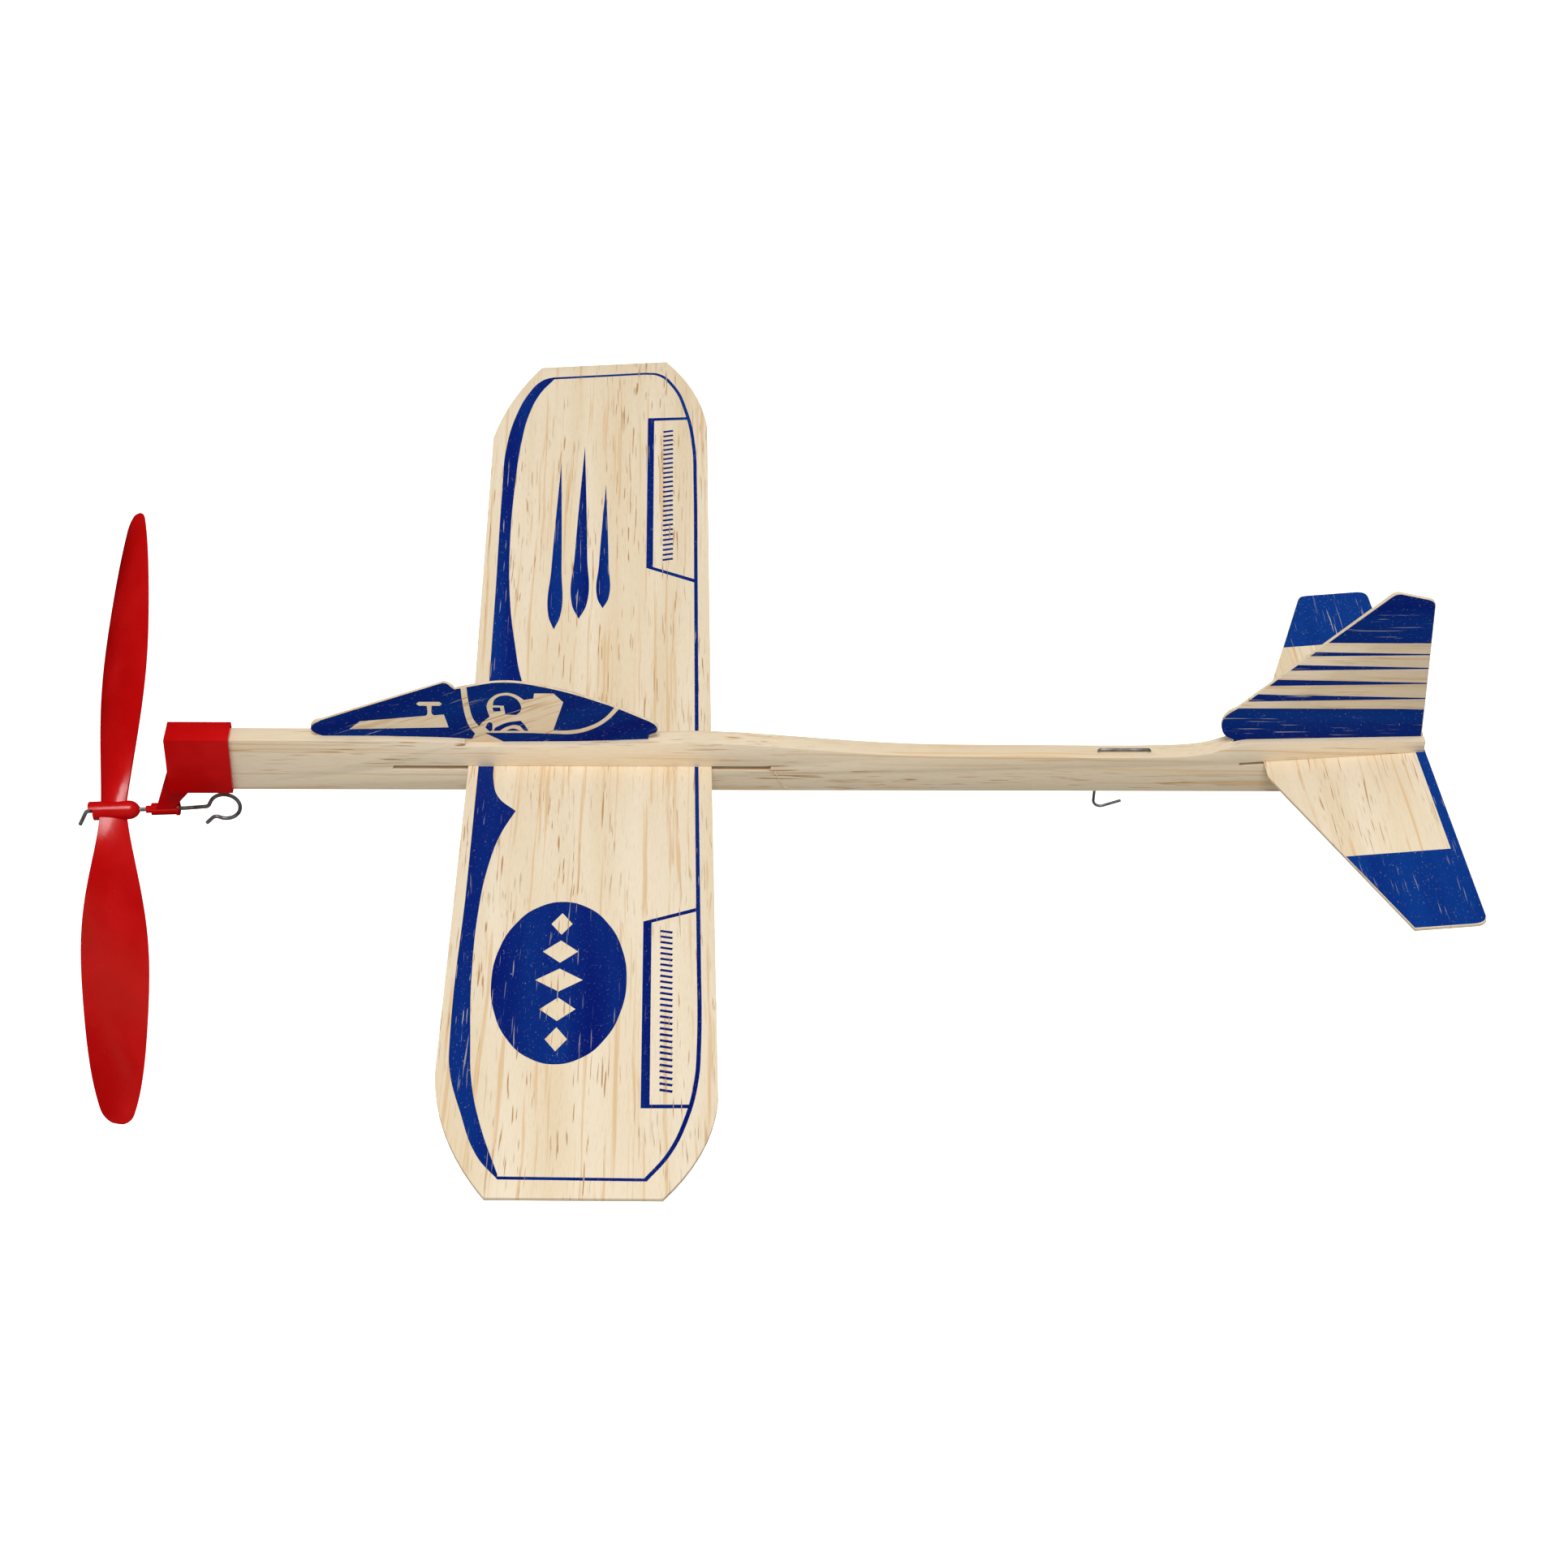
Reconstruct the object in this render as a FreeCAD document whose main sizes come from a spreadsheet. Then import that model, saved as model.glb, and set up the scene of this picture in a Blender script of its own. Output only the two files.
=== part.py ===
"""Rubber-powered balsa stick model: motor stick, sheet wing and tail, plastic nose bearing and propeller.

Frame: millimetres, +Z up, the nose towards -X, the starboard wing towards +Y. The origin is on the
stick's underside, on the centreline, below the middle of the wing, where a hand holds the model.
"""
import FreeCAD, Part

import math
import os

import Sketcher

V = FreeCAD.Vector

os.makedirs("parts", exist_ok=True)
doc = FreeCAD.newDocument("balsa_stick_model")

# ---------------------------------------------------------------- driving dimensions
sizes = {
    # motor stick, cut from one strip
    "stick_front": -93.0,
    "stick_rear": 188.0,
    "stick_thickness": 4.76,
    "nose_height": 13.6,
    "nose_flat_end": -46.0,
    "tail_height": 14.3,
    "tail_flat_start": 148.0,
    "tail_start_height": 13.3,
    "tongue_low": 0.9,
    "tongue_high": 13.2,
    # sheet wood, the same for wing, tail and canopy
    "sheet": 0.8,
    # wing and the long slot it slides in
    "wing_lead": -27.2,
    "wing_chord": 54.5,
    "wing_half_span": 156.2,
    "wing_dihedral": 5.1,
    "wing_underside": 5.7,
    "wing_slot_front": -44.0,
    "wing_slot_rear": 40.6,
    "wing_slot_low": 5.64,
    "wing_slot_high": 6.79,
    # the wing sits a little to starboard, and its ends are cut slightly askew
    "tip_lead_mid_x": -23.2,
    "tip_lead_end_x": -15.9,
    "tip_trail_end_x": 16.8,
    "tip_trail_mid_x": 24.1,
    "far_tip_lead_start": 122.0,
    "far_tip_lead_mid": 137.2,
    "far_tip_lead_end": 152.9,
    "far_tip_trail_end": 156.0,
    "far_tip_trail_mid": 142.0,
    "far_tip_trail_start": 127.0,
    "near_tip_lead_start": 113.0,
    "near_tip_lead_mid": 134.2,
    "near_tip_lead_end": 149.8,
    "near_tip_trail_end": 150.3,
    "near_tip_trail_mid": 136.6,
    "near_tip_trail_start": 121.0,
    # tail slot, cut at an angle and open at the rear
    "tail_slot_front": 146.5,
    "tail_slot_height": 7.6,
    "tail_incidence": 4.55,
    "tail_slot_gap": 0.92,
    "tail_skew": 1.3,
    # stabilizer, measured from the closed end of its slot
    "stab_lead": 5.5,
    "stab_trail": 42.1,
    "stab_root_half": 8.0,
    "stab_tip_lead": 26.4,
    "stab_tip_lead_half": 63.2,
    "stab_tip_trail_half": 63.2,
    "stab_corner": 2.4,
    "stab_far_tip_lead": 25.6,
    "stab_far_tip_half": 61.9,
    # fin groove
    "fin_groove_front": 144.6,
    "fin_groove_front_low": 11.0,
    "fin_groove_rear_low": 12.9,
    "fin_setback": 0.4,
    # canopy groove
    "canopy_groove_front": -59.4,
    "canopy_groove_rear": 13.2,
    "canopy_groove_low": 9.4,
    # nose bearing: a sleeve over the stick with a hanging bearing tube
    "sleeve_front": -94.2,
    "sleeve_length": 14.2,
    "sleeve_top": 14.45,
    "sleeve_top_half": 3.5,
    "sleeve_foot_half": 3.85,
    "sleeve_waist": 7.7,
    "sleeve_foot": 5.0,
    "socket_gap": 0.02,
    "socket_end": -75.0,
    "gusset_length": 8.4,
    "gusset_foot_ahead": 3.95,
    "gusset_foot_behind": -0.3,
    "gusset_foot_half": 1.1,
    "gusset_foot_rise": 0.6,
    "bearing_x": -96.2,
    "bearing_z": -7.45,
    "down_thrust": 2.5,
    "tube_radius": 1.4,
    "tube_half_length": 3.15,
    "collar_radius": 1.62,
    "collar_length": 0.7,
    "boss_radius": 0.85,
    "boss_length": 1.3,
    "shaft_bore": 0.5,
    "bore_half_length": 8.0,
    # propeller, measured along the shaft from the middle of the bearing tube
    "hub_front": -17.4,
    "hub_tooth": 1.15,
    "tooth_crest": 13.0,
    "tooth_face": 43.0,
    "notch_span": 150.0,
    "hub_rear": -5.9,
    "hub_radius": 2.15,
    "hub_dome": 2.4,
    "blade_station": -11.9,
    "prop_radius": 71.9,
    "prop_turn": 54.8,
    "blade_rake": 0.045,
    # wires
    "shaft_radius": 0.45,
    "leg_gap": 0.12,
    "leg_slant": 2.0,
    "leg_drop": 3.7,
    "leg_bend": 0.7,
    "shaft_straight_end": 4.4,
    "hook_centre": 13.4,
    "hook_rise": 0.1,
    "hook_radius": 3.4,
    "hook_entry": 152.0,
    "hook_leave": -120.0,
    "hook_lead_in": 1.6,
    "curl_radius": 1.3,
    "curl_turn": 74.0,
    "hook_end": 2.0,
    "hook_wire_radius": 0.33,
    "staple_front": 114.7,
    "staple_rear": 126.3,
    "staple_crown": 10.0,
    "staple_leg_end": 3.0,
    "staple_gap": 0.01,
    "staple_bend": 0.5,
    "rear_hook_drop": 6.9,
    "rear_hook_reach": 6.3,
    "rear_hook_tip": 4.5,
    "rear_hook_bend": 1.7,
}

sheet = doc.addObject("Spreadsheet::Sheet", "dims")
for row, (alias, size) in enumerate(sizes.items(), start=1):
    sheet.set(f"A{row}", alias)
    sheet.set(f"B{row}", str(size))
    sheet.setAlias(f"B{row}", alias)
doc.recompute()


def size(alias):
    """The value of one cell of the sheet."""
    return float(getattr(sheet, alias))


# ---------------------------------------------------------------- helpers
def new_body(label):
    body = doc.addObject("PartDesign::Body", label + "_body")
    body.Label = label
    return body


def plane_of(body, role):
    for feature in body.Origin.OriginFeatures:
        if feature.Role == role:
            return feature
    raise ValueError(role)


def new_sketch(body, role, name):
    sketch = body.newObject("Sketcher::SketchObject", name)
    sketch.AttachmentSupport = (plane_of(body, role), "")
    sketch.MapMode = "FlatFace"
    return sketch


def hold(sketch, kind, edge, end, alias, sign=1):
    """Ties one coordinate of an edge's end to a cell of the sheet, or to the cell's negative."""
    index = sketch.addConstraint(Sketcher.Constraint(kind, -1, 1, edge, end, sign * size(alias)))
    sketch.setExpression(f"Constraints[{index}]", f"{sign} * dims.{alias}")


def polygon(sketch, corners):
    """A closed outline. A corner's coordinate is a number, or an alias that it stays tied to."""
    def number(entry):
        return size(entry) if isinstance(entry, str) else float(entry)

    points = [V(number(x), number(y), 0) for x, y in corners]
    first = sketch.GeometryCount
    count = len(points)
    for i in range(count):
        sketch.addGeometry(Part.LineSegment(points[i], points[(i + 1) % count]))
    for i in range(count):
        following = first + (i + 1) % count
        sketch.addConstraint(Sketcher.Constraint("Coincident", first + i, 2, following, 1))
    for i, (x, y) in enumerate(corners):
        for kind, entry in (("DistanceX", x), ("DistanceY", y)):
            if isinstance(entry, str):
                hold(sketch, kind, first + i, 1, entry)
            else:
                sketch.addConstraint(Sketcher.Constraint(kind, -1, 1, first + i, 1, float(entry)))


def chain(sketch, edges):
    """Joins edges that follow each other into one closed outline and returns the first one's index."""
    first = sketch.GeometryCount
    ends = []
    for edge in edges:
        index = sketch.addGeometry(edge)
        # a sketch stores every arc anticlockwise, so a clockwise one comes back with its ends swapped
        kept = (sketch.getPoint(index, 1) - edge.StartPoint).Length < 1e-6
        ends.append((1, 2) if kept else (2, 1))
    for i in range(len(edges)):
        j = (i + 1) % len(edges)
        joined = (first + i, ends[i][1], first + j, ends[j][0])
        sketch.addConstraint(Sketcher.Constraint("Coincident", *joined))
    return first


def line(a, b):
    return Part.LineSegment(V(*a, 0), V(*b, 0))


def arc(a, middle, b):
    return Part.Arc(V(*a, 0), V(*middle, 0), V(*b, 0))


def spline(points, start_tangent, end_tangent):
    curve = Part.BSplineCurve()
    curve.interpolate(Points=[V(*p, 0) for p in points],
                      InitialTangent=V(*start_tangent, 0), FinalTangent=V(*end_tangent, 0))
    return curve


def pad(body, sketch, name, length, midplane=True):
    feature = body.newObject("PartDesign::Pad", name)
    feature.Profile = sketch
    feature.SideType = "Symmetric" if midplane else "One side"
    feature.setExpression("Length", length)
    return feature


def pocket(body, sketch, name, length=None):
    """Cuts the profile away on both sides of its plane, through everything unless given a length."""
    feature = body.newObject("PartDesign::Pocket", name)
    feature.Profile = sketch
    feature.SideType = "Symmetric"
    if length is None:
        feature.Type = "ThroughAll"
    else:
        feature.setExpression("Length", length)
    return feature


# ---------------------------------------------------------------- motor stick
def make_motor_stick():
    body = new_body("motor_stick")
    profile = new_sketch(body, "XZ_Plane", "stick_profile")
    front, rear = size("stick_front"), size("stick_rear")
    shoulder = size("sleeve_front") + size("sleeve_length")
    nose_end, nose_z = size("nose_flat_end"), size("nose_height")
    tail_start, tail_z = size("tail_flat_start"), size("tail_height")
    low, high = size("tongue_low"), size("tongue_high")
    start_z = size("tail_start_height")
    back = [(tail_start, start_z), (140.2, 10.9), (130.0, 9.6), (100.0, 9.5), (70.0, 9.9), (50.0, 11.4),
            (28.0, 13.1), (-5.0, 12.2), (-30.0, 12.4), (nose_end, nose_z)]
    edges = [
        line((front, low), (shoulder, low)),
        line((shoulder, low), (shoulder, 0)),
        line((shoulder, 0), (rear, 0)),
        line((rear, 0), (rear, tail_z)),
        line((rear, tail_z), (tail_start, start_z)),
        spline(back, (-1, -0.1), (-1, 0.02)),
        line((nose_end, nose_z), (shoulder, nose_z)),
        line((shoulder, nose_z), (shoulder, high)),
        line((shoulder, high), (front, high)),
        line((front, high), (front, low)),
    ]
    first = chain(profile, edges)
    for kind, edge, end, alias in (
            ("DistanceX", 0, 1, "stick_front"), ("DistanceY", 0, 1, "tongue_low"),
            ("DistanceX", 2, 2, "stick_rear"), ("DistanceY", 3, 2, "tail_height"),
            ("DistanceX", 4, 2, "tail_flat_start"), ("DistanceY", 4, 2, "tail_start_height"),
            ("DistanceX", 6, 1, "nose_flat_end"),
            ("DistanceY", 6, 1, "nose_height"), ("DistanceY", 8, 2, "tongue_high")):
        hold(profile, kind, first + edge, end, alias)
    pad(body, profile, "stick_blank", "dims.stick_thickness")

    wing_slot = new_sketch(body, "XZ_Plane", "wing_slot_outline")
    polygon(wing_slot, [("wing_slot_front", "wing_slot_low"), ("wing_slot_rear", "wing_slot_low"),
                        ("wing_slot_rear", "wing_slot_high"), ("wing_slot_front", "wing_slot_high")])
    pocket(body, wing_slot, "wing_slot")

    # the tail slot rises towards the rear, where it is open
    tilt = math.radians(size("tail_incidence"))
    half_gap = size("tail_slot_gap") / 2
    reach = size("stick_rear") - size("tail_slot_front") + 4
    start = V(size("tail_slot_front"), size("tail_slot_height"), 0)
    along = V(math.cos(tilt), math.sin(tilt), 0)
    across = V(-math.sin(tilt), math.cos(tilt), 0)
    corners = [start - across * half_gap, start + along * reach - across * half_gap,
               start + along * reach + across * half_gap, start + across * half_gap]
    tail_slot = new_sketch(body, "XZ_Plane", "tail_slot_outline")
    polygon(tail_slot, [(p.x, p.y) for p in corners])
    pocket(body, tail_slot, "tail_slot")

    above = size("tail_height") + 2
    canopy_groove = new_sketch(body, "XZ_Plane", "canopy_groove_outline")
    polygon(canopy_groove, [("canopy_groove_front", "canopy_groove_low"),
                            ("canopy_groove_rear", "canopy_groove_low"),
                            ("canopy_groove_rear", above), ("canopy_groove_front", above)])
    pocket(body, canopy_groove, "canopy_groove", "dims.sheet")

    fin_groove = new_sketch(body, "XZ_Plane", "fin_groove_outline")
    polygon(fin_groove, [("fin_groove_front", "fin_groove_front_low"), ("stick_rear", "fin_groove_rear_low"),
                         (rear + 1, "fin_groove_rear_low"), (rear + 1, above), ("fin_groove_front", above)])
    pocket(body, fin_groove, "fin_groove", "dims.sheet")

    # the staple's crown lies in a shallow dent, with a hole for each leg
    radius = size("hook_wire_radius") + size("staple_gap")
    crown_low = size("staple_crown") - radius
    dent = new_sketch(body, "XZ_Plane", "staple_dent_outline")
    polygon(dent, [(size("staple_front") - radius, crown_low), (size("staple_rear") + radius, crown_low),
                   (size("staple_rear") + radius, above), (size("staple_front") - radius, above)])
    pocket(body, dent, "staple_dent", "2 * (dims.hook_wire_radius + dims.staple_gap)")
    for name, alias, bottom in (("front", "staple_front", -1.0),
                                ("rear", "staple_rear", size("staple_leg_end"))):
        hole = new_sketch(body, "XY_Plane", f"staple_hole_{name}")
        hole.AttachmentOffset = FreeCAD.Placement(V(0, 0, bottom), FreeCAD.Rotation())
        circle = hole.addGeometry(Part.Circle(V(size(alias), 0, 0), V(0, 0, 1), radius))
        hold(hole, "DistanceX", circle, 3, alias)
        hole.addConstraint(Sketcher.Constraint("PointOnObject", circle, 3, -1))
        index = hole.addConstraint(Sketcher.Constraint("Radius", circle, radius))
        hole.setExpression(f"Constraints[{index}]", "dims.hook_wire_radius + dims.staple_gap")
        cut = body.newObject("PartDesign::Pocket", f"staple_leg_{name}")
        cut.Profile = hole
        cut.SideType = "One side"
        cut.Reversed = True
        cut.Length = crown_low - bottom + 1
    return body


# ---------------------------------------------------------------- wing
def make_wing():
    """One sheet, creased along the middle; each half is a flat panel with a rounded tip."""
    body = new_body("wing")
    section = new_sketch(body, "YZ_Plane", "wing_section")
    section.setExpression("AttachmentOffset.Base.z", "dims.wing_lead")
    slope = math.radians(size("wing_dihedral"))
    reach, low = size("wing_half_span"), size("wing_underside")
    tip_low = low + reach * math.tan(slope)
    height = size("sheet") / math.cos(slope)
    polygon(section, [(0, "wing_underside"), ("wing_half_span", tip_low),
                      ("wing_half_span", tip_low + height), (0, low + height),
                      (-reach, tip_low + height), (-reach, tip_low)])
    pad(body, section, "wing_panels", "dims.wing_chord", midplane=False)

    lead, trail = size("wing_lead"), size("wing_lead") + size("wing_chord")
    lead_x, trail_x = size("tip_lead_end_x"), size("tip_trail_end_x")
    clear, outside = 2, reach + 3
    waste = new_sketch(body, "XY_Plane", "wing_tip_waste")
    for side, tip in ((1, "far_tip"), (-1, "near_tip")):
        lead_start, trail_start = size(f"{tip}_lead_start"), size(f"{tip}_trail_start")
        lead_y, trail_y = size(f"{tip}_lead_end"), size(f"{tip}_trail_end")
        lead_middle = (size("tip_lead_mid_x"), side * size(f"{tip}_lead_mid"))
        trail_middle = (size("tip_trail_mid_x"), side * size(f"{tip}_trail_mid"))
        first = chain(waste, [
            line((lead - clear, side * lead_start), (lead, side * lead_start)),
            arc((lead, side * lead_start), lead_middle, (lead_x, side * lead_y)),
            line((lead_x, side * lead_y), (trail_x, side * trail_y)),
            arc((trail_x, side * trail_y), trail_middle, (trail, side * trail_start)),
            line((trail, side * trail_start), (trail + clear, side * trail_start)),
            line((trail + clear, side * trail_start), (trail + clear, side * outside)),
            line((trail + clear, side * outside), (lead - clear, side * outside)),
            line((lead - clear, side * outside), (lead - clear, side * lead_start)),
        ])
        hold(waste, "DistanceX", first + 2, 1, "tip_lead_end_x")
        hold(waste, "DistanceX", first + 2, 2, "tip_trail_end_x")
        for edge, end, row in ((0, 1, "lead_start"), (2, 1, "lead_end"), (2, 2, "trail_end"),
                               (4, 1, "trail_start")):
            hold(waste, "DistanceY", first + edge, end, f"{tip}_{row}", side)
    pocket(body, waste, "wing_tips")
    return body


# ---------------------------------------------------------------- stabilizer
def make_stabilizer():
    """A swept flat sheet, drawn from the closed end of its slot and then tilted with the slot."""
    body = new_body("stabilizer")
    outline = new_sketch(body, "XY_Plane", "stabilizer_outline")
    lead, trail, root = size("stab_lead"), size("stab_trail"), size("stab_root_half")
    tip_lead, tip_lead_y = size("stab_tip_lead"), size("stab_tip_lead_half")
    tip_y, corner = size("stab_tip_trail_half"), size("stab_corner")
    bend = corner * (1 - math.sqrt(0.5))
    # the far tip is sanded rounder and a little shorter than the near one
    far_lead, far_y = size("stab_far_tip_lead"), size("stab_far_tip_half")
    first = chain(outline, [
        line((lead, -root), (lead, root)),
        line((lead, root), (far_lead - 0.7, far_y - 1.9)),
        arc((far_lead - 0.7, far_y - 1.9), (far_lead + 0.15, far_y - 0.45), (far_lead + 1.8, far_y)),
        line((far_lead + 1.8, far_y), (trail - corner, far_y)),
        arc((trail - corner, far_y), (trail - bend, far_y - bend), (trail, far_y - corner)),
        line((trail, far_y - corner), (trail, corner - tip_y)),
        arc((trail, corner - tip_y), (trail - bend, bend - tip_y), (trail - corner, -tip_y)),
        line((trail - corner, -tip_y), (tip_lead, -tip_lead_y)),
        line((tip_lead, -tip_lead_y), (lead, -root)),
    ])
    hold(outline, "DistanceX", first, 1, "stab_lead")
    hold(outline, "DistanceX", first + 5, 1, "stab_trail")
    hold(outline, "DistanceY", first + 3, 1, "stab_far_tip_half")
    hold(outline, "DistanceX", first + 7, 2, "stab_tip_lead")
    hold(outline, "DistanceY", first + 7, 2, "stab_tip_lead_half", -1)
    hold(outline, "DistanceY", first, 2, "stab_root_half")
    hold(outline, "DistanceY", first, 1, "stab_root_half", -1)
    pad(body, outline, "stabilizer_panel", "dims.sheet")
    tilt = FreeCAD.Rotation(V(0, 1, 0), -size("tail_incidence"))
    skew = FreeCAD.Rotation(V(0, 0, 1), size("tail_skew"))
    body.Placement = FreeCAD.Placement(V(size("tail_slot_front"), 0, size("tail_slot_height")), tilt * skew)
    return body


# ---------------------------------------------------------------- fin and canopy
def make_fin():
    body = new_body("fin")
    outline = new_sketch(body, "XZ_Plane", "fin_outline")
    front, front_low = size("fin_groove_front"), size("fin_groove_front_low")
    rear, rear_low = size("stick_rear") - size("fin_setback"), size("fin_groove_rear_low")
    chain(outline, [
        line((front, front_low), (rear, rear_low)),
        line((rear, rear_low), (185.1, 49.4)),
        arc((185.1, 49.4), (184.7, 50.7), (183.6, 51.4)),
        line((183.6, 51.4), (177.0, 52.9)),
        arc((177.0, 52.9), (175.9, 52.9), (174.9, 52.2)),
        line((174.9, 52.2), (144.7, 21.9)),
        arc((144.7, 21.9), (141.7, 17.2), (144.7, 13.2)),
        line((144.7, 13.2), (front, front_low)),
    ])
    hold(outline, "DistanceX", 0, 1, "fin_groove_front")
    hold(outline, "DistanceY", 0, 1, "fin_groove_front_low")
    hold(outline, "DistanceY", 0, 2, "fin_groove_rear_low")
    pad(body, outline, "fin_panel", "dims.sheet")
    return body


def make_canopy():
    """The profile of a nose cowl, a small step, and a long bubble canopy."""
    body = new_body("canopy")
    outline = new_sketch(body, "XZ_Plane", "canopy_outline")
    front, rear = size("canopy_groove_front"), size("canopy_groove_rear")
    low = size("canopy_groove_low")
    chain(outline, [
        line((front, low), (rear, low)),
        line((rear, low), (rear, 13.8)),
        arc((rear, 13.8), (15.3, 15.4), (13.6, 17.7)),
        spline([(13.6, 17.7), (3.4, 22.6), (-8.4, 26.7), (-19.0, 28.4), (-29.6, 26.5)],
               (-1, 0.55), (-1, -0.25)),
        arc((-29.6, 26.5), (-30.5, 27.6), (-31.9, 28.3)),
        line((-31.9, 28.3), (-59.6, 17.9)),
        arc((-59.6, 17.9), (-61.9, 15.4), (front, 13.6)),
        line((front, 13.6), (front, low)),
    ])
    hold(outline, "DistanceX", 0, 1, "canopy_groove_front")
    hold(outline, "DistanceY", 0, 1, "canopy_groove_low")
    hold(outline, "DistanceX", 0, 2, "canopy_groove_rear")
    pad(body, outline, "canopy_panel", "dims.sheet")
    return body


# ---------------------------------------------------------------- shaft line
def shaft_frame():
    """Local Z runs aft along the shaft, local X points up, and the origin is mid bearing."""
    tilt = math.radians(size("down_thrust"))
    aft = V(math.cos(tilt), 0, math.sin(tilt))
    up = V(-math.sin(tilt), 0, math.cos(tilt))
    rotation = FreeCAD.Rotation(up, aft.cross(up), aft, "ZXY")
    return FreeCAD.Placement(V(size("bearing_x"), 0, size("bearing_z")), rotation)


# ---------------------------------------------------------------- nose bearing
def make_nose_bearing():
    """A moulded sleeve that slips on the nose, with a gusset down to the bearing tube."""
    body = new_body("nose_bearing")
    section = new_sketch(body, "YZ_Plane", "sleeve_section")
    section.setExpression("AttachmentOffset.Base.z", "dims.sleeve_front")
    top_half, foot_half = size("sleeve_top_half"), size("sleeve_foot_half")
    polygon(section, [(-foot_half, 0), ("sleeve_foot_half", 0), ("sleeve_foot_half", "sleeve_foot"),
                      ("sleeve_top_half", "sleeve_waist"), ("sleeve_top_half", "sleeve_top"),
                      (-top_half, "sleeve_top"), (-top_half, "sleeve_waist"), (-foot_half, "sleeve_foot")])
    pad(body, section, "sleeve", "dims.sleeve_length", midplane=False)

    # the gusset narrows from the sleeve's full width to the tube
    upper = new_sketch(body, "XY_Plane", "gusset_top")
    upper.AttachmentOffset = FreeCAD.Placement(V(0, 0, size("sleeve_foot")), FreeCAD.Rotation())
    front = size("sleeve_front")
    back = front + size("gusset_length")
    polygon(upper, [(front, -foot_half), (back, -foot_half), (back, foot_half), (front, foot_half)])
    lower = new_sketch(body, "XY_Plane", "gusset_foot")
    foot_z = size("bearing_z") + size("gusset_foot_rise")
    lower.AttachmentOffset = FreeCAD.Placement(V(0, 0, foot_z), FreeCAD.Rotation())
    toe, heel = front - size("gusset_foot_ahead"), front + size("gusset_foot_behind")
    half = size("gusset_foot_half")
    polygon(lower, [(toe, -half), (heel, -half), (heel, half), (toe, half)])
    gusset = body.newObject("PartDesign::AdditiveLoft", "gusset")
    gusset.Profile = upper
    gusset.Sections = [lower]
    gusset.Ruled = True

    # the tube has a collar behind and a small boss in front that the hub runs against
    half_length = size("tube_half_length")
    for name, start, radius, height in (
            ("bearing_tube", -half_length, "dims.tube_radius", "2 * dims.tube_half_length"),
            ("bearing_collar", half_length - size("collar_length"),
             "dims.collar_radius", "dims.collar_length"),
            ("bearing_boss", -half_length - size("boss_length"), "dims.boss_radius", "dims.boss_length + 1")):
        turned = body.newObject("PartDesign::AdditiveCylinder", name)
        turned.Placement = shaft_frame().multiply(FreeCAD.Placement(V(0, 0, start), FreeCAD.Rotation()))
        turned.setExpression("Radius", radius)
        turned.setExpression("Height", height)

    socket = new_sketch(body, "XZ_Plane", "socket_outline")
    gap, end = size("socket_gap"), size("socket_end")
    near, low, high = size("stick_front") - gap, size("tongue_low") - gap, size("tongue_high") + gap
    polygon(socket, [(near, low), (end, low), (end, high), (near, high)])
    pocket(body, socket, "socket", "dims.stick_thickness + 2 * dims.socket_gap")

    bore = body.newObject("PartDesign::SubtractiveCylinder", "shaft_bore")
    bore_start = V(0, 0, -size("bore_half_length"))
    bore.Placement = shaft_frame().multiply(FreeCAD.Placement(bore_start, FreeCAD.Rotation()))
    bore.setExpression("Radius", "dims.shaft_bore")
    bore.setExpression("Height", "2 * dims.bore_half_length")
    body.Tip = bore
    return body


# ---------------------------------------------------------------- wires
def wire_path(points, bends):
    """Straight runs through the points in the XZ plane, each inner corner rounded by its bend radius."""
    edges = []
    start = V(points[0][0], 0, points[0][1])
    for i in range(1, len(points) - 1):
        corner = V(points[i][0], 0, points[i][1])
        before = (corner - V(points[i - 1][0], 0, points[i - 1][1])).normalize()
        after = (V(points[i + 1][0], 0, points[i + 1][1]) - corner).normalize()
        turn = before.getAngle(after)
        cut = bends[i - 1] * math.tan(turn / 2)
        arc_start, arc_end = corner - before * cut, corner + after * cut
        inward = (after - before).normalize()
        middle = corner + inward * (bends[i - 1] / math.cos(turn / 2) - bends[i - 1])
        edges.append(Part.LineSegment(start, arc_start).toShape())
        edges.append(Part.Arc(arc_start, middle, arc_end).toShape())
        start = arc_end
    edges.append(Part.LineSegment(start, V(points[-1][0], 0, points[-1][1])).toShape())
    return edges


def wire_solid(edges, radius):
    """A round wire along the edges."""
    path = Part.Wire(edges)
    first = path.OrderedEdges[0]
    begin = first.valueAt(first.FirstParameter)
    heading = first.tangentAt(first.FirstParameter)
    circle = Part.Wire([Part.Circle(begin, heading, radius).toShape()])
    return path.makePipeShell([circle], True, False)


def feature_of(label, shape):
    feature = doc.addObject("Part::Feature", label)
    feature.Label = label
    feature.Shape = shape
    return feature


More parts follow.
